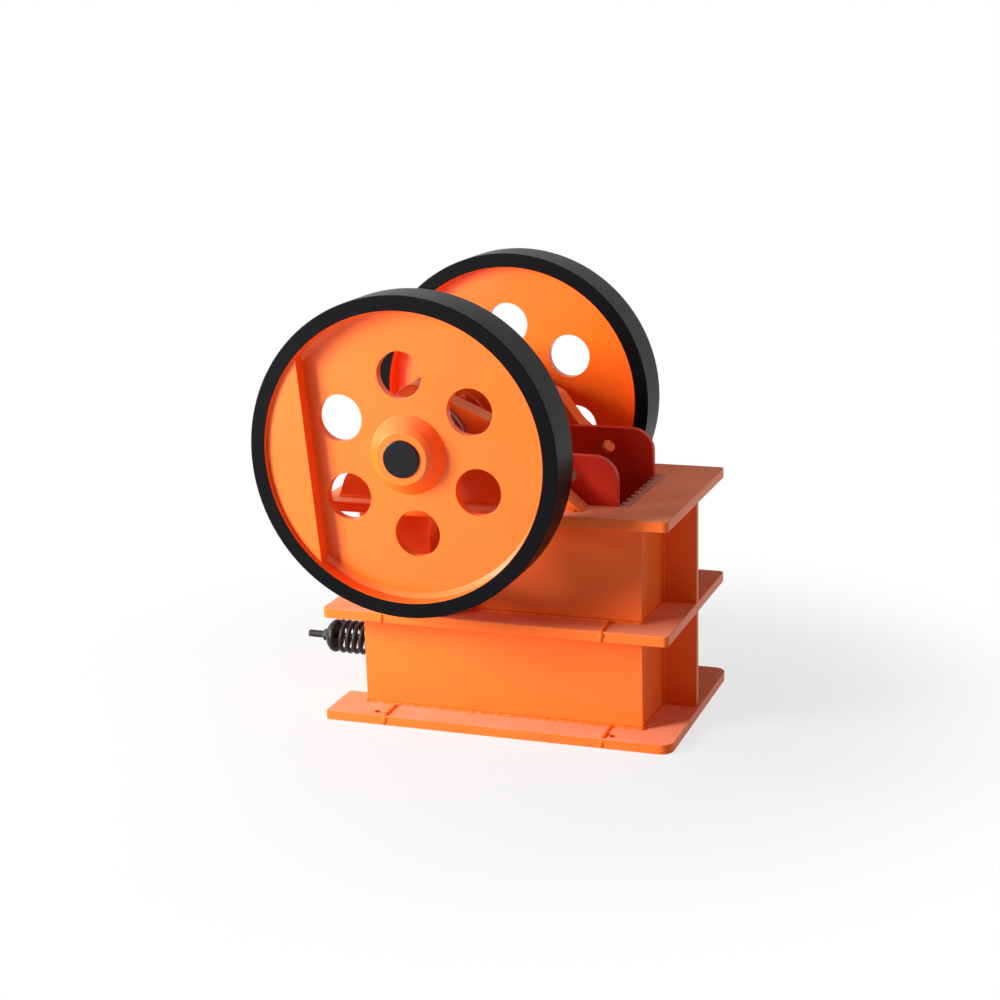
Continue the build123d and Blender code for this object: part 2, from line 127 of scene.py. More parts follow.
def white_to_eye(tree):
    """A value that is 1 for camera, glossy and transmission rays, and 0 for the rest."""
    ray = tree.nodes.new("ShaderNodeLightPath").outputs
    direct = math_node(tree, "ADD", ray["Is Camera Ray"], ray["Is Glossy Ray"])
    seen = math_node(tree, "ADD", direct, ray["Is Transmission Ray"])
    seen.node.use_clamp = True
    return seen


world = bpy.data.worlds.new("studio")
world.use_nodes = True
scene.world = world
sky = world.node_tree
sky_light = sky.nodes["Background"]
sky_light.inputs["Color"].default_value = (1.0, 1.0, 1.0, 1.0)
sky_light.inputs["Strength"].default_value = ambient_strength
sky_white = sky.nodes.new("ShaderNodeBackground")
sky_white.inputs["Color"].default_value = (1.0, 1.0, 1.0, 1.0)
sky_choice = sky.nodes.new("ShaderNodeMixShader")
sky.links.new(white_to_eye(sky), sky_choice.inputs["Fac"])
sky.links.new(sky_light.outputs[0], sky_choice.inputs[1])
sky.links.new(sky_white.outputs[0], sky_choice.inputs[2])
sky.links.new(sky_choice.outputs[0], sky.nodes["World Output"].inputs["Surface"])
print("world light", ambient_strength)

# %% Lamps


def soft_lamp(name, place, aim, width, height, watts):
    """An area lamp of the given width and height that points from its place to the aim."""
    data = bpy.data.lights.new(name, "AREA")
    data.shape = "RECTANGLE"
    data.size = width
    data.size_y = height
    data.energy = watts
    lamp = bpy.data.objects.new(name, data)
    bpy.context.collection.objects.link(lamp)
    lamp.matrix_world = Matrix.LocRotScale(
        Vector(place), (Vector(aim) - Vector(place)).to_track_quat("-Z", "Y"), None
    )
    return lamp


machine_middle = (0.0, 0.0, 0.45)
soft_lamp("door_light", (-2.9, -2.7, 1.55), machine_middle, 1.3, 2.2, 345.0)
soft_lamp("roof_light", (-0.6, 0.4, 3.6), machine_middle, 2.4, 2.4, 18.0)
soft_lamp("end_light", (3.6, 0.5, 0.8), machine_middle, 2.0, 2.0, 22.0)
soft_lamp("window_light", (-3.6, -0.6, 1.9), machine_middle, 0.7, 0.7, 90.0)

# %% Floor
floor_half = 5.0
floor_drop = 0.0004
floor_grey = 0.55
shade_start = 0.55
shade_end = 1.30
least_white = 0.75

floor_mesh = bpy.data.meshes.new("floor")
floor_mesh.from_pydata(
    [
        (x * floor_half, y * floor_half, -floor_drop)
        for x, y in ((-1, -1), (1, -1), (1, 1), (-1, 1))
    ],
    [],
    [(0, 1, 2, 3)],
)
floor = bpy.data.objects.new("floor", floor_mesh)
bpy.context.collection.objects.link(floor)

floor_paint = bpy.data.materials.new("pale_floor")
floor_paint.use_nodes = True
tree = floor_paint.node_tree
matt = tree.nodes["Principled BSDF"]
matt.inputs["Base Color"].default_value = (floor_grey, floor_grey, floor_grey, 1.0)
matt.inputs["Roughness"].default_value = 0.9
matt.inputs["Specular IOR Level"].default_value = 0.0
glow = tree.nodes.new("ShaderNodeEmission")
spot = tree.nodes.new("ShaderNodeTexCoord")
reach = tree.nodes.new("ShaderNodeVectorMath")
reach.operation = "LENGTH"
fade = tree.nodes.new("ShaderNodeMapRange")
fade.interpolation_type = "SMOOTHSTEP"
fade.inputs["From Min"].default_value = shade_start
fade.inputs["From Max"].default_value = shade_end
fade.inputs["To Min"].default_value = least_white
floor_choice = tree.nodes.new("ShaderNodeMixShader")
tree.links.new(spot.outputs["Object"], reach.inputs[0])
tree.links.new(reach.outputs["Value"], fade.inputs["Value"])
white_share = math_node(tree, "MULTIPLY", fade.outputs["Result"], white_to_eye(tree))
tree.links.new(white_share, floor_choice.inputs["Fac"])
tree.links.new(matt.outputs[0], floor_choice.inputs[1])
tree.links.new(glow.outputs[0], floor_choice.inputs[2])
tree.links.new(floor_choice.outputs[0], tree.nodes["Material Output"].inputs["Surface"])
floor_mesh.materials.append(floor_paint)
print("floor fades to white from", shade_start, "to", shade_end, "m")

# %% [markdown]
# ## Effects that several finishes share
# Sprayed enamel is never one flat colour: the film is thicker here and thinner there, and its skin
# has a fine orange-peel ripple. Edges are painted lighter, partly for wear and partly as a painted
# highlight, and what faces up is painted paler, partly for dust and partly as a painted sheen. Each
# effect is a node group with named inputs, so that every paint can use it with values of its own.

# %% Helper for node groups


def shader_group(name, inputs, outputs):
    """An empty shader group with the named sockets, and its two end nodes."""
    group = bpy.data.node_groups.new(name, "ShaderNodeTree")
    for socket_name, kind, value in inputs:
        socket = group.interface.new_socket(socket_name, in_out="INPUT", socket_type=kind)
        socket.default_value = value
    for socket_name, kind in outputs:
        group.interface.new_socket(socket_name, in_out="OUTPUT", socket_type=kind)
    return group, group.nodes.new("NodeGroupInput"), group.nodes.new("NodeGroupOutput")


def noise_node(tree, coordinates, scale, detail):
    """A Noise texture on the given coordinates, giving its factor socket."""
    node = tree.nodes.new("ShaderNodeTexNoise")
    node.inputs["Detail"].default_value = detail
    if isinstance(scale, (int, float)):
        node.inputs["Scale"].default_value = scale
    else:
        tree.links.new(scale, node.inputs["Scale"])
    tree.links.new(coordinates, node.inputs["Vector"])
    return node.outputs["Fac"]


# %% Enamel film
cloud_scale = 7.0
gloss_spread = 0.08

film, film_in, film_out = shader_group(
    "enamel_film",
    [
        ("Color", "NodeSocketColor", (0.8, 0.8, 0.8, 1.0)),
        ("Spread", "NodeSocketFloat", 0.06),
        ("Gloss Roughness", "NodeSocketFloat", 0.35),
        ("Peel Scale", "NodeSocketFloat", 260.0),
    ],
    [
        ("Color", "NodeSocketColor"),
        ("Roughness", "NodeSocketFloat"),
        ("Height", "NodeSocketFloat"),
    ],
)
film_spot = film.nodes.new("ShaderNodeTexCoord").outputs["Object"]
clouds = noise_node(film, film_spot, cloud_scale, detail=3.0)
peel = noise_node(film, film_spot, film_in.outputs["Peel Scale"], detail=1.0)
# The noise runs from 0 to 1, and the lift from -1 to 1.
lift = math_node(film, "MULTIPLY", math_node(film, "SUBTRACT", clouds, 0.5), 2.0)
change = math_node(film, "MULTIPLY", lift, film_in.outputs["Spread"])
shade = math_node(film, "ADD", change, 1.0)
scaled = film.nodes.new("ShaderNodeVectorMath")
scaled.operation = "SCALE"
film.links.new(film_in.outputs["Color"], scaled.inputs[0])
film.links.new(shade, scaled.inputs["Scale"])
film.links.new(scaled.outputs["Vector"], film_out.inputs["Color"])
uneven = math_node(film, "MULTIPLY", lift, gloss_spread)
rough = math_node(film, "ADD", film_in.outputs["Gloss Roughness"], uneven)
film.links.new(rough, film_out.inputs["Roughness"])
film.links.new(peel, film_out.inputs["Height"])
print("group", film.name, [socket.name for socket in film.interface.items_tree])

# %% Edge wear and painted highlight
bend_gain = 6.0
patch_scale = 45.0

# Edges are painted lighter: partly wear, and partly a painted highlight for the light that a
# rounded edge catches.
wear_and_highlight, wear_and_highlight_in, wear_and_highlight_out = shader_group(
    "rubbed_edges",
    [("Width", "NodeSocketFloat", 0.003), ("Amount", "NodeSocketFloat", 0.5)],
    [("Mask", "NodeSocketFloat")],
)
rounded = wear_and_highlight.nodes.new("ShaderNodeBevel")
rounded.samples = 6
wear_and_highlight.links.new(wear_and_highlight_in.outputs["Width"], rounded.inputs["Radius"])
facing = wear_and_highlight.nodes.new("ShaderNodeNewGeometry")
alike = wear_and_highlight.nodes.new("ShaderNodeVectorMath")
alike.operation = "DOT_PRODUCT"
wear_and_highlight.links.new(rounded.outputs["Normal"], alike.inputs[0])
wear_and_highlight.links.new(facing.outputs["Normal"], alike.inputs[1])
turned = math_node(wear_and_highlight, "SUBTRACT", 1.0, alike.outputs["Value"])
bend = math_node(wear_and_highlight, "MULTIPLY", turned, bend_gain)
rub_spot = wear_and_highlight.nodes.new("ShaderNodeTexCoord").outputs["Object"]
patchy = noise_node(wear_and_highlight, rub_spot, patch_scale, detail=2.0)
worn_and_lit = math_node(wear_and_highlight, "MULTIPLY", bend, patchy)
worn_and_lit_share = math_node(wear_and_highlight, "MULTIPLY", worn_and_lit, wear_and_highlight_in.outputs["Amount"])
wear_and_highlight.links.new(math_node(wear_and_highlight, "MINIMUM", worn_and_lit_share, 1.0), wear_and_highlight_out.inputs["Mask"])
print("group", wear_and_highlight.name, [socket.name for socket in wear_and_highlight.interface.items_tree])

# %% Dust and painted sheen on upward faces
drift_scale = 14.0
drift_spread = 0.5
drift_least = 0.25
slope_power = 3.0

# Upward faces are painted paler: partly settled dust, and partly a painted sheen for the pale light
# that the tops catch.
dust_and_sheen, dust_and_sheen_in, dust_and_sheen_out = shader_group(
    "settled_dust",
    [("Amount", "NodeSocketFloat", 0.3)],
    [("Mask", "NodeSocketFloat")],
)
upward = dust_and_sheen.nodes.new("ShaderNodeSeparateXYZ")
dust_and_sheen.links.new(dust_and_sheen.nodes.new("ShaderNodeNewGeometry").outputs["Normal"], upward.inputs[0])
level = math_node(dust_and_sheen, "POWER", math_node(dust_and_sheen, "MAXIMUM", upward.outputs["Z"], 0.0), slope_power)
dust_spot = dust_and_sheen.nodes.new("ShaderNodeTexCoord").outputs["Object"]
drift = noise_node(dust_and_sheen, dust_spot, drift_scale, detail=4.0)
heaped = math_node(dust_and_sheen, "MULTIPLY", drift, drift_spread)
thick = math_node(dust_and_sheen, "ADD", heaped, drift_least)
lying = math_node(dust_and_sheen, "MULTIPLY", level, thick)
dust_and_sheen_share = math_node(dust_and_sheen, "MULTIPLY", lying, dust_and_sheen_in.outputs["Amount"])
dust_and_sheen.links.new(dust_and_sheen_share, dust_and_sheen_out.inputs["Mask"])
print("group", dust_and_sheen.name, [socket.name for socket in dust_and_sheen.interface.items_tree])

# %% [markdown]
# ## Finishes
# Most of the machine has one orange enamel. Its upward faces are painted paler, partly for dust and
# partly as a painted sheen, and the dust makes them duller. The flywheels' webs have a glossier
# orange. The rims are black outside and orange inside, and their paint tells the two apart by the
# distance from the shaft. The cheek plates have a dark red coat, the jaw plates are cast steel with
# pinkish overspray, and the rod and spring are oiled black. Every paint's edges are painted
# lighter, partly for wear and partly as a painted highlight.

# %% Helper that builds a paint


def place_group(tree, group, **values):
    """A shader group placed in a material, with its inputs set by name."""
    node = tree.nodes.new("ShaderNodeGroup")
    node.node_tree = group
    for socket_name, value in values.items():
        node.inputs[socket_name.replace("_", " ")].default_value = value
    return node


def blend_color(tree, mask, under, over):
    """A colour mix of two sockets or colours by a mask."""
    node = tree.nodes.new("ShaderNodeMix")
    node.data_type = "RGBA"
    tree.links.new(mask, node.inputs["Factor"])
    for socket, value in ((node.inputs[6], under), (node.inputs[7], over)):
        if isinstance(value, tuple):
            socket.default_value = (*value, 1.0)
        else:
            tree.links.new(value, socket)
    return node.outputs[2]


wear_and_highlight_width = 0.003
dust_dulling = 0.8
peel_strength = 0.5


def enamel(name, color, gloss, spread, edge_color, edge_amount, dust_color=None, dust_amount=0.0,
           specular=0.15, metallic=0.0, peel_scale=260.0, peel_depth=0.00006):
    """A paint or bare-metal finish, and the group node that its base colour goes into."""
    material = bpy.data.materials.new(name)
    material.use_nodes = True
    tree = material.node_tree
    shader = tree.nodes["Principled BSDF"]
    shader.inputs["Specular IOR Level"].default_value = specular
    shader.inputs["Metallic"].default_value = metallic
    coating = place_group(
        tree, film, Color=(*color, 1.0), Spread=spread, Gloss_Roughness=gloss, Peel_Scale=peel_scale
    )
    # The edge mask paints edges lighter, partly for wear and partly as a painted highlight.
    edges = place_group(tree, wear_and_highlight, Width=wear_and_highlight_width, Amount=edge_amount)
    shown = blend_color(tree, edges.outputs["Mask"], coating.outputs["Color"], edge_color)
    dullness = coating.outputs["Roughness"]
    # Upward faces are painted paler, partly for dust and partly as a painted sheen, and the dust
    # dulls them.
    if dust_color:
        mask = place_group(tree, dust_and_sheen, Amount=dust_amount).outputs["Mask"]
        shown = blend_color(tree, mask, shown, dust_color)
        dulled = math_node(tree, "MULTIPLY", mask, dust_dulling)
        dullness = math_node(tree, "ADD", dullness, dulled)
    tree.links.new(shown, shader.inputs["Base Color"])
    tree.links.new(dullness, shader.inputs["Roughness"])
    bump = tree.nodes.new("ShaderNodeBump")
    bump.inputs["Strength"].default_value = peel_strength
    bump.inputs["Distance"].default_value = peel_depth
    tree.links.new(coating.outputs["Height"], bump.inputs["Height"])
    tree.links.new(bump.outputs["Normal"], shader.inputs["Normal"])
    return material, coating


# %% Build the paints
# The lighter orange for edges is partly wear and partly a painted highlight; the pale tone for
# upward faces is partly dust and partly a painted sheen.
orange = (0.95, 0.155, 0.022)
orange_edge = (1.0, 0.30, 0.09)
pale_dust_and_sheen = (0.95, 0.40, 0.26)
black = (0.005, 0.005, 0.006)

orange_paint, _ = enamel(
    "orange_enamel", orange, gloss=0.36, spread=0.05, edge_color=orange_edge, edge_amount=0.5,
    dust_color=pale_dust_and_sheen, dust_amount=1.0,
)
wheel_paint, _ = enamel(
    "wheel_enamel", (0.95, 0.145, 0.008), gloss=0.28, spread=0.04, edge_color=orange_edge,
    edge_amount=0.4, dust_color=pale_dust_and_sheen, dust_amount=0.5, specular=0.45, peel_depth=0.00003,
)
weld_paint, _ = enamel(
    "painted_weld", (0.86, 0.130, 0.012), gloss=0.42, spread=0.12, edge_color=orange_edge,
    edge_amount=0.0, peel_scale=150.0, peel_depth=0.0004,
)
# The lighter red on the cheek plates' edges is a painted highlight along the edges that catch the
# light.
red_paint, _ = enamel(
    "dark_red_coat", (0.76, 0.040, 0.018), gloss=0.42, spread=0.07,
    edge_color=(0.80, 0.08, 0.05), edge_amount=0.5, specular=0.08,
)
jaw_steel, _ = enamel(
    "oversprayed_casting", (0.50, 0.17, 0.12), gloss=0.6, spread=0.22,
    edge_color=(0.62, 0.32, 0.26), edge_amount=0.6, peel_scale=420.0, peel_depth=0.0006,
)
black_paint, _ = enamel(
    "black_enamel", black, gloss=0.16, spread=0.1, edge_color=(0.03, 0.03, 0.032),
    edge_amount=0.3, specular=0.25,
)
dark_steel, _ = enamel(
    "oiled_black_steel", (0.020, 0.019, 0.018), gloss=0.34, spread=0.25,
    edge_color=(0.10, 0.095, 0.09), edge_amount=0.6, metallic=0.35,
    peel_scale=500.0, peel_depth=0.0002,
)
bearing_steel, _ = enamel(
    "turned_steel", (0.42, 0.42, 0.43), gloss=0.3, spread=0.08, edge_color=(0.6, 0.6, 0.6),
    edge_amount=0.4, metallic=0.9, peel_scale=700.0,
)
print("paints so far", [material.name for material in bpy.data.materials])

# %% Two-colour rim paint
rim_low, rim_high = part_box("right_flywheel_rim")
shaft_x = (rim_low.x + rim_high.x) / 2
shaft_z = (rim_low.z + rim_high.z) / 2
web_low, web_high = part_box("right_flywheel_web")
rim_inner_radius = (web_high.x - web_low.x) / 2
paint_line_offset = 0.00018
paint_line_width = 0.0006

# The grey on the black rim's edges is a painted highlight, the bright line that the rim's rounded
# edges catch.
rim_paint, rim_coating = enamel(
    "rim_enamel", black, gloss=0.34, spread=0.12, edge_color=(0.05, 0.05, 0.052),
    edge_amount=0.5, specular=0.035,
)
tree = rim_paint.node_tree
centred = tree.nodes.new("ShaderNodeMapping")
centred.inputs["Location"].default_value = (-shaft_x, 0.0, -shaft_z)
centred.inputs["Scale"].default_value = (1.0, 0.0, 1.0)
tree.links.new(tree.nodes.new("ShaderNodeTexCoord").outputs["Object"], centred.inputs["Vector"])
from_shaft = tree.nodes.new("ShaderNodeVectorMath")
from_shaft.operation = "LENGTH"
tree.links.new(centred.outputs["Vector"], from_shaft.inputs[0])
outside = tree.nodes.new("ShaderNodeMapRange")
line_start = rim_inner_radius + paint_line_offset
outside.inputs["From Min"].default_value = line_start
outside.inputs["From Max"].default_value = line_start + paint_line_width
tree.links.new(from_shaft.outputs["Value"], outside.inputs["Value"])
two_colours = blend_color(tree, outside.outputs["Result"], orange, black)
tree.links.new(two_colours, rim_coating.inputs["Color"])

finishes = {
    "orange_paint": orange_paint, "red_paint": red_paint, "jaw_steel": jaw_steel,
    "black_paint": black_paint, "bearing_steel": bearing_steel, "dark_steel": dark_steel,
}
wheel_finishes = {"flywheel_rim": rim_paint, "flywheel_web": wheel_paint}
print("finishes", list(finishes), "and rim paint from radius", round(rim_inner_radius, 4))

# %% [markdown]
# ## Plates with softened edges
# No cut or cast plate has a razor edge: a real one catches a thin line of light. Each CAD node is
# copied, its loose triangles are merged into clean faces, and a Bevel modifier rounds the edges.
# Bevel reads the angle between faces, so one angle suits boxes, turned pieces and castings, and
# each kind of piece has a width of its own. A Weighted Normal modifier then lets the large faces
# decide the shading, so that they stay flat.

# %% Soften every rigid node
edge_width = {
    "flange": 0.0022, "wall": 0.0012, "rib": 0.0015, "pedestal": 0.0030, "cheek": 0.0030,
    "flywheel_rim": 0.0020, "flywheel_web": 0.0055, "pitman": 0.0030, "jaw_plate": 0.0014,
    "shaft": 0.0035, "cup": 0.0050,
}
plain_width = 0.0010
edge_steps = 3
face_turn = radians(28.0)
flat_turn = radians(0.4)
merge_distance = 1e-6
large_face_weight = 80


def width_for(node):
    """The edge width of the first kind that the node's name holds."""
    for kind, width in edge_width.items():
        if kind in node:
            return width
    return plain_width


def softened_copy(node):
    """A merged copy of a CAD node with rounded edges and flat faces."""
    shape = bmesh.new()
    shape.from_mesh(cad_nodes[node].data)
    bmesh.ops.remove_doubles(shape, verts=shape.verts, dist=merge_distance)
    bmesh.ops.dissolve_limit(
        shape, angle_limit=flat_turn, verts=shape.verts, edges=shape.edges
    )
    mesh = bpy.data.meshes.new(f"{node}_finished")
    shape.to_mesh(mesh)
    shape.free()
    mesh.shade_smooth()
    piece = bpy.data.objects.new(f"{node}_finished", mesh)
    bpy.context.collection.objects.link(piece)
    bevel = piece.modifiers.new("soft_edges", "BEVEL")
    bevel.limit_method = "ANGLE"
    bevel.angle_limit = face_turn
    bevel.width = width_for(node)
    bevel.segments = edge_steps
    piece.modifiers.new("flat_faces", "WEIGHTED_NORMAL").weight = large_face_weight
    return piece


sprung = "tension_spring"
for node in sorted(cad_nodes):
    if node == sprung:
        continue
    piece = softened_copy(node)
    wheel_finish = next(
        (paint for kind, paint in wheel_finishes.items() if kind in node), None
    )
    piece.data.materials.append(wheel_finish or finishes[slot_of_node[node]])
    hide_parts(node)
    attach(piece, body_of_node[node])
print("softened", len(cad_nodes) - 1, "nodes")

# %% [markdown]
# ## A coil that a rule draws
# The spring on the tension rod and the thread at the rod's end are both coils: a wire that follows
# a helix. Geometry Nodes can draw that from a radius, a wire size, a number of turns and a length,
# and the same tree then serves both.

# %% Helper that runs a tree


def tree_with(name, inputs):
    """An empty Geometry Nodes tree with named inputs, and its end nodes."""
    tree = bpy.data.node_groups.new(name, "GeometryNodeTree")
    for socket_name, kind in inputs:
        tree.interface.new_socket(socket_name, in_out="INPUT", socket_type=kind)
    tree.interface.new_socket("Geometry", in_out="OUTPUT", socket_type="NodeSocketGeometry")
    return tree, tree.nodes.new("NodeGroupInput"), tree.nodes.new("NodeGroupOutput")


def close_tree(tree, start, end, geometry):
    """Ends a tree in smooth shading, Realize Instances and Set Material."""
    smooth = tree.nodes.new("GeometryNodeSetShadeSmooth")
    real = tree.nodes.new("GeometryNodeRealizeInstances")
    coat = tree.nodes.new("GeometryNodeSetMaterial")
    tree.links.new(geometry, smooth.inputs["Geometry"])
    tree.links.new(smooth.outputs[0], real.inputs["Geometry"])
    tree.links.new(real.outputs[0], coat.inputs["Geometry"])
    tree.links.new(start.outputs["Material"], coat.inputs["Material"])
    tree.links.new(coat.outputs[0], end.inputs["Geometry"])
    return smooth


def grow(tree, name, path=None, **values):
    """Runs a tree on a path or an empty mesh and keeps the result as a plain mesh piece."""
    host = bpy.data.objects.new(f"{name}_path", path or bpy.data.meshes.new(f"{name}_path"))
    bpy.context.collection.objects.link(host)
    modifier = host.modifiers.new(tree.name, "NODES")
    modifier.node_group = tree
    for item in tree.interface.items_tree:
        key = item.name.replace(" ", "_").lower()
        if item.in_out == "INPUT" and key in values:
            modifier[item.identifier] = values[key]
    bpy.context.view_layer.update()
    settled_view = bpy.context.evaluated_depsgraph_get()
    grown = host.evaluated_get(settled_view)
    mesh = bpy.data.meshes.new_from_object(grown, depsgraph=settled_view)
    mesh.name = name
    host.modifiers.remove(modifier)
    bpy.data.objects.remove(host)
    piece = bpy.data.objects.new(name, mesh)
    bpy.context.collection.objects.link(piece)
    print(name, len(mesh.polygons), "faces")
    return piece


# %% Coil tree
coil, coil_in, coil_out = tree_with(
    "coil",
    [
        ("Coil Radius", "NodeSocketFloat"),
        ("Wire Radius", "NodeSocketFloat"),
        ("Turns", "NodeSocketFloat"),
        ("Length", "NodeSocketFloat"),
        ("Steps", "NodeSocketInt"),
        ("Wire Sides", "NodeSocketInt"),
        ("Start", "NodeSocketVector"),
        ("Material", "NodeSocketMaterial"),
    ],
)
spiral = coil.nodes.new("GeometryNodeCurveSpiral")
lay = coil.nodes.new("GeometryNodeTransform")
lay.inputs["Rotation"].default_value = (0.0, radians(-90.0), 0.0)
wire = coil.nodes.new("GeometryNodeCurvePrimitiveCircle")
skin = coil.nodes.new("GeometryNodeCurveToMesh")
skin.inputs["Fill Caps"].default_value = True
for source, target in (
    ("Steps", spiral.inputs["Resolution"]),
    ("Turns", spiral.inputs["Rotations"]),
    ("Coil Radius", spiral.inputs["Start Radius"]),
    ("Coil Radius", spiral.inputs["End Radius"]),
    ("Length", spiral.inputs["Height"]),
    ("Start", lay.inputs["Translation"]),
    ("Wire Sides", wire.inputs["Resolution"]),
    ("Wire Radius", wire.inputs["Radius"]),
):
    coil.links.new(coil_in.outputs[source], target)
coil.links.new(spiral.outputs["Curve"], lay.inputs["Geometry"])
coil.links.new(lay.outputs["Geometry"], skin.inputs["Curve"])
coil.links.new(wire.outputs["Curve"], skin.inputs["Profile Curve"])
close_tree(coil, coil_in, coil_out, skin.outputs["Mesh"])
print("tree", coil.name, len(coil.nodes), "nodes")

# %% Spring and thread
cup_low, cup_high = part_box("spring_cup")
nut_rear_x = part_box("rod_nut")[0].x
rod_tip_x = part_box("tension_rod")[0].x
rod_z = (cup_low.z + cup_high.z) / 2
rear_wall_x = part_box("rear_wall")[0].x
wire_radius = 0.0055
coil_radius = 0.0325
coil_turns = 8.0
coil_length = rear_wall_x - cup_high.x - 2 * wire_radius
spring = grow(
    coil, "coil_spring", coil_radius=coil_radius, wire_radius=wire_radius, turns=coil_turns,
    length=coil_length, steps=28, wire_sides=10,
    start=(rear_wall_x - wire_radius, 0.0, rod_z), material=dark_steel,
)
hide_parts(sprung)
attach(spring, "frame")
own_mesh(spring)
thread_radius = 0.0075
thread_depth = 0.0007
thread_turns = 24.0
bare_tip = 0.003
thread = grow(
    coil, "rod_thread", coil_radius=thread_radius, wire_radius=thread_depth, turns=thread_turns,
    length=nut_rear_x - rod_tip_x - bare_tip, steps=20, wire_sides=4,
    start=(nut_rear_x, 0.0, rod_z), material=dark_steel,
)
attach(thread, "moving_jaw")

# %% [markdown]
# ## Weld beads
# The plates are joined by fillet welds, and short butt welds cross the flange strips. A bead is a
# round wire of weld metal laid along a joint, with ripples and a line that wanders. The tree takes
# the joints as edges of a mesh, so all the welds of one kind are one piece.

# %% Weld tree
ripple_scale = 90.0
thinnest = 0.7
thickest = 1.3

weld, weld_in, weld_out = tree_with(
    "weld_bead",
    [
        ("Joints", "NodeSocketGeometry"),
        ("Bead Radius", "NodeSocketFloat"),
        ("Step", "NodeSocketFloat"),
        ("Wander", "NodeSocketFloat"),
        ("Seed", "NodeSocketFloat"),
        ("Material", "NodeSocketMaterial"),
    ],
)
joints = weld.nodes.new("GeometryNodeMeshToCurve")
fine = weld.nodes.new("GeometryNodeResampleCurve")
fine.mode = "LENGTH"
place = weld.nodes.new("GeometryNodeInputPosition")
shiver = weld.nodes.new("ShaderNodeTexNoise")
shiver.noise_dimensions = "4D"
shiver.inputs["Scale"].default_value = ripple_scale
middle = weld.nodes.new("ShaderNodeVectorMath")
middle.operation = "SUBTRACT"
middle.inputs[1].default_value = (0.5, 0.5, 0.5)
drift_by = weld.nodes.new("ShaderNodeVectorMath")
drift_by.operation = "SCALE"
nudge = weld.nodes.new("GeometryNodeSetPosition")
swell = weld.nodes.new("ShaderNodeMapRange")
swell.inputs["From Min"].default_value = 0.25
swell.inputs["From Max"].default_value = 0.75
swell.inputs["To Min"].default_value = thinnest
swell.inputs["To Max"].default_value = thickest
bead = weld.nodes.new("GeometryNodeCurvePrimitiveCircle")
bead.inputs["Resolution"].default_value = 8
run = weld.nodes.new("GeometryNodeCurveToMesh")
run.inputs["Fill Caps"].default_value = True
weld.links.new(weld_in.outputs["Joints"], joints.inputs["Mesh"])
weld.links.new(joints.outputs["Curve"], fine.inputs["Curve"])
weld.links.new(weld_in.outputs["Step"], fine.inputs["Length"])
weld.links.new(place.outputs["Position"], shiver.inputs["Vector"])
weld.links.new(weld_in.outputs["Seed"], shiver.inputs["W"])
weld.links.new(shiver.outputs["Color"], middle.inputs[0])
weld.links.new(middle.outputs["Vector"], drift_by.inputs[0])
weld.links.new(weld_in.outputs["Wander"], drift_by.inputs["Scale"])
weld.links.new(fine.outputs["Curve"], nudge.inputs["Geometry"])
weld.links.new(drift_by.outputs["Vector"], nudge.inputs["Offset"])
weld.links.new(shiver.outputs["Fac"], swell.inputs["Value"])
weld.links.new(weld_in.outputs["Bead Radius"], bead.inputs["Radius"])
weld.links.new(nudge.outputs["Geometry"], run.inputs["Curve"])
weld.links.new(bead.outputs["Curve"], run.inputs["Profile Curve"])
weld.links.new(swell.outputs["Result"], run.inputs["Scale"])
close_tree(weld, weld_in, weld_out, run.outputs["Mesh"])
print("tree", weld.name, len(weld.nodes), "nodes")

# %% Joints to weld
rib_end_inset = 0.004
foot_rear_inset = 0.005
foot_front_inset = 0.014
frame_joints = []
rib_joints = []
for tier in ("lower", "upper"):
    wall_low, wall_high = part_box(f"{tier}_right_wall")
    rib_low, rib_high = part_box(f"{tier}_front_rib")
    outer_y = -wall_low.y
    # Along the foot and the top of the walls, and beside the ends of the front rib
    for z in (wall_low.z, wall_high.z):
        frame_joints.append(
            [(wall_low.x, -outer_y, z), (wall_high.x, -outer_y, z),
             (wall_high.x, outer_y, z), (wall_low.x, outer_y, z)]
        )
        for y in (rib_low.y, rib_high.y):
            frame_joints.append([(rib_low.x, y, z), (rib_high.x - rib_end_inset, y, z)])
    # Up both sides of the front rib
    for y in (rib_low.y, rib_high.y):
        rib_joints.append([(rib_low.x, y, rib_low.z), (rib_low.x, y, rib_high.z)])
    # Up the rear corners, where the side walls meet the rear wall
    for y in (wall_high.y, -wall_high.y):
        frame_joints.append([(wall_low.x, y, wall_low.z), (wall_low.x, y, wall_high.z)])
for side in ("right", "left"):
    rib_low, rib_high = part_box(f"{side}_side_rib")
    # Up both edges of the side rib, on the wall's face
    inner_y = rib_high.y if side == "right" else rib_low.y
    for x in (rib_low.x, rib_high.x):
        frame_joints.append([(x, inner_y, rib_low.z), (x, inner_y, rib_high.z)])
    # Along both sides of the pedestal's foot, short of its ends
    foot_low, foot_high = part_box(f"{side}_bearing_pedestal")
    for y in (foot_low.y, foot_high.y):
        frame_joints.append(
            [(foot_low.x + foot_rear_inset, y, foot_low.z),
             (foot_high.x - foot_front_inset, y, foot_low.z)]
        )
print(len(frame_joints) + len(rib_joints), "joints to weld")

# %% Lay the fillet welds
bead_step = 0.005
bead_wander = 0.0012


def joint_mesh(name, runs):
    """The joints as one mesh of edges."""
    points = [point for run_points in runs for point in run_points]
    edges = []
    start = 0
    for run_points in runs:
        edges += [(start + n, start + n + 1) for n in range(len(run_points) - 1)]
        start += len(run_points)
    mesh = bpy.data.meshes.new(name)
    mesh.from_pydata(points, edges, [])
    return mesh


for name, runs, bead_radius in (
    ("fillet_welds", frame_joints, 0.0052),
    ("rib_welds", rib_joints, 0.0075),
):
    beads = grow(
        weld, name, joint_mesh(f"{name}_joints", runs), bead_radius=bead_radius,
        step=bead_step, wander=bead_wander, seed=3.0, material=weld_paint,
    )
    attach(beads, "frame")

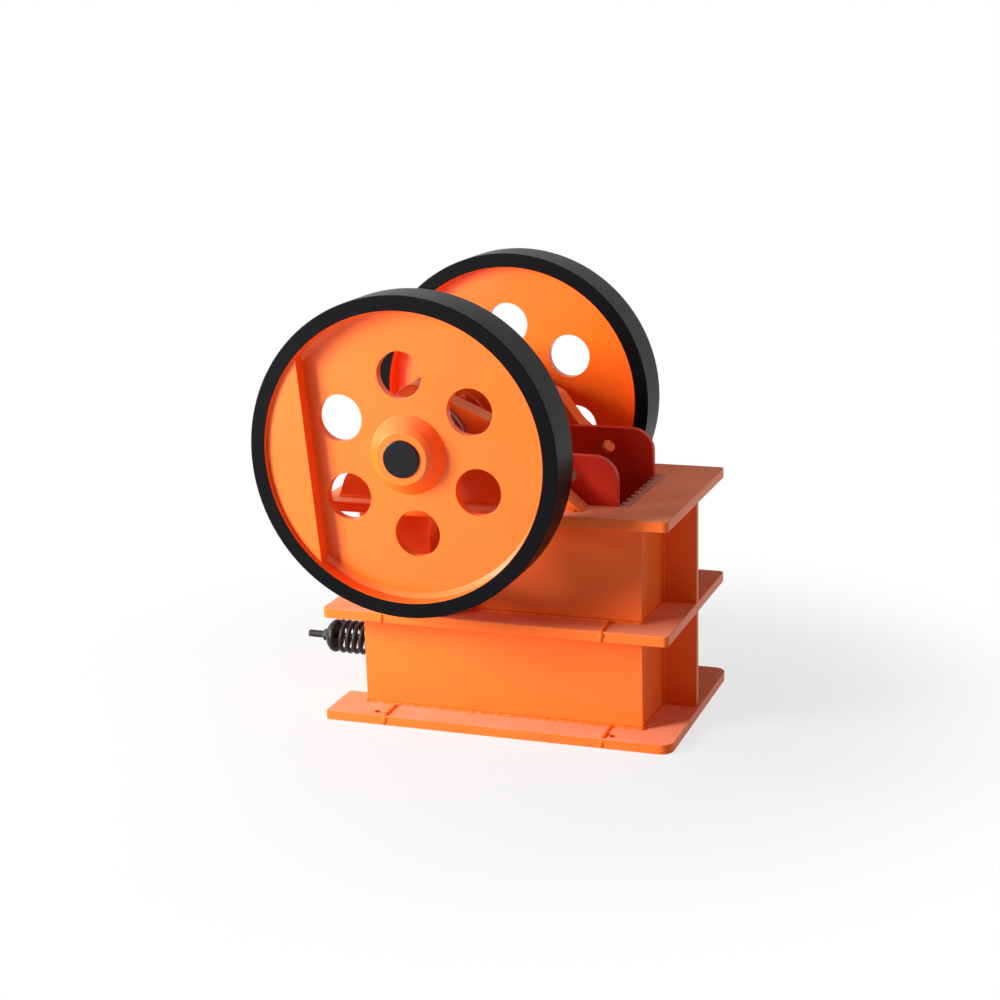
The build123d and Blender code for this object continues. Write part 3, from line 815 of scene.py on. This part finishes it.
# %% Butt welds across the flange strips
seam_places = (-0.2395, 0.2405)
bead_sink = 0.0046
seam_lean = 0.003
seam_rise = 0.002
seams = []
for flange in ("base_flange", "middle_flange"):
    strip_low, strip_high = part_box(flange)
    wall_y = -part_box("lower_right_wall")[0].y
    for x in seam_places:
        for side in (-1, 1):
            edge_y = side * (strip_high.y - bead_sink)
            top = strip_high.z - bead_sink
            seams.append(
                [(x, side * wall_y, top), (x + seam_lean, edge_y, top),
                 (x, edge_y, strip_low.z + seam_rise)]
            )
butt_welds = grow(
    weld, "butt_welds", joint_mesh("butt_joints", seams), bead_radius=0.0076,
    step=0.004, wander=0.004, seed=8.0, material=weld_paint,
)
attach(butt_welds, "frame")

# %% [markdown]
# ## Bolts on the bearing covers
# The round covers of the bearings and of the moving jaw's barrel are held by a ring of hexagon
# bolts. One tree puts a bolt head and its washer on each point of a circle round the shaft.

# %% Bolt tree
bolts, bolts_in, bolts_out = tree_with(
    "bolt_ring",
    [
        ("Count", "NodeSocketInt"),
        ("Ring Radius", "NodeSocketFloat"),
        ("Head Radius", "NodeSocketFloat"),
        ("Head Height", "NodeSocketFloat"),
        ("Washer Radius", "NodeSocketFloat"),
        ("Washer Height", "NodeSocketFloat"),
        ("Place", "NodeSocketVector"),
        ("Turn", "NodeSocketVector"),
        ("Material", "NodeSocketMaterial"),
    ],
)
ring = bolts.nodes.new("GeometryNodeMeshCircle")
head = bolts.nodes.new("GeometryNodeMeshCylinder")
head.inputs["Vertices"].default_value = 6
washer = bolts.nodes.new("GeometryNodeMeshCylinder")
washer.inputs["Vertices"].default_value = 20
both = bolts.nodes.new("GeometryNodeJoinGeometry")
set_down = bolts.nodes.new("GeometryNodeInstanceOnPoints")
stand = bolts.nodes.new("GeometryNodeTransform")
for source, target in (
    ("Count", ring.inputs["Vertices"]),
    ("Ring Radius", ring.inputs["Radius"]),
    ("Head Radius", head.inputs["Radius"]),
    ("Washer Radius", washer.inputs["Radius"]),
    ("Place", stand.inputs["Translation"]),
    ("Turn", stand.inputs["Rotation"]),
):
    bolts.links.new(bolts_in.outputs[source], target)
# A cylinder is made round its middle, so each is raised by half its height, and the head also
# by the washer that it stands on.
for part, own_height, height_below in (
    (head, "Head Height", "Washer Height"),
    (washer, "Washer Height", None),
):
    height = bolts_in.outputs[own_height]
    bolts.links.new(height, part.inputs["Depth"])
    rise = math_node(bolts, "MULTIPLY", height, 0.5)
    if height_below:
        rise = math_node(bolts, "ADD", rise, bolts_in.outputs[height_below])
    lift_by = bolts.nodes.new("ShaderNodeCombineXYZ")
    bolts.links.new(rise, lift_by.inputs["Z"])
    raised = bolts.nodes.new("GeometryNodeTransform")
    bolts.links.new(part.outputs["Mesh"], raised.inputs["Geometry"])
    bolts.links.new(lift_by.outputs["Vector"], raised.inputs["Translation"])
    bolts.links.new(raised.outputs["Geometry"], both.inputs["Geometry"])
bolts.links.new(ring.outputs["Mesh"], set_down.inputs["Points"])
bolts.links.new(both.outputs["Geometry"], set_down.inputs["Instance"])
bolts.links.new(set_down.outputs["Instances"], stand.inputs["Geometry"])
flat_shade = close_tree(bolts, bolts_in, bolts_out, stand.outputs["Geometry"])
flat_shade.inputs["Shade Smooth"].default_value = False
print("tree", bolts.name, len(bolts.nodes), "nodes")

# %% Bolt the covers
bolt_count = 6
head_height_share = 0.8
washer_share = 1.35
washer_height = 0.0015

for side, sign in (("right", -1), ("left", 1)):
    turn = (radians(-90.0 * sign), 0.0, 0.0)
    for cover, body, ring_radius, head_radius, slot in (
        ("bearing", "frame", 0.0665, 0.0090, "dark_steel"),
        ("barrel_cover", "moving_jaw", 0.0900, 0.0065, "orange_paint"),
    ):
        cover_low, cover_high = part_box(f"{side}_{cover}")
        face_y = cover_high.y if sign > 0 else cover_low.y
        ring_piece = grow(
            bolts, f"{side}_{cover}_bolts", count=bolt_count, ring_radius=ring_radius,
            head_radius=head_radius, head_height=head_height_share * head_radius,
            washer_radius=washer_share * head_radius, washer_height=washer_height,
            place=(shaft_x, face_y, shaft_z), turn=turn, material=finishes[slot],
        )
        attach(ring_piece, body)
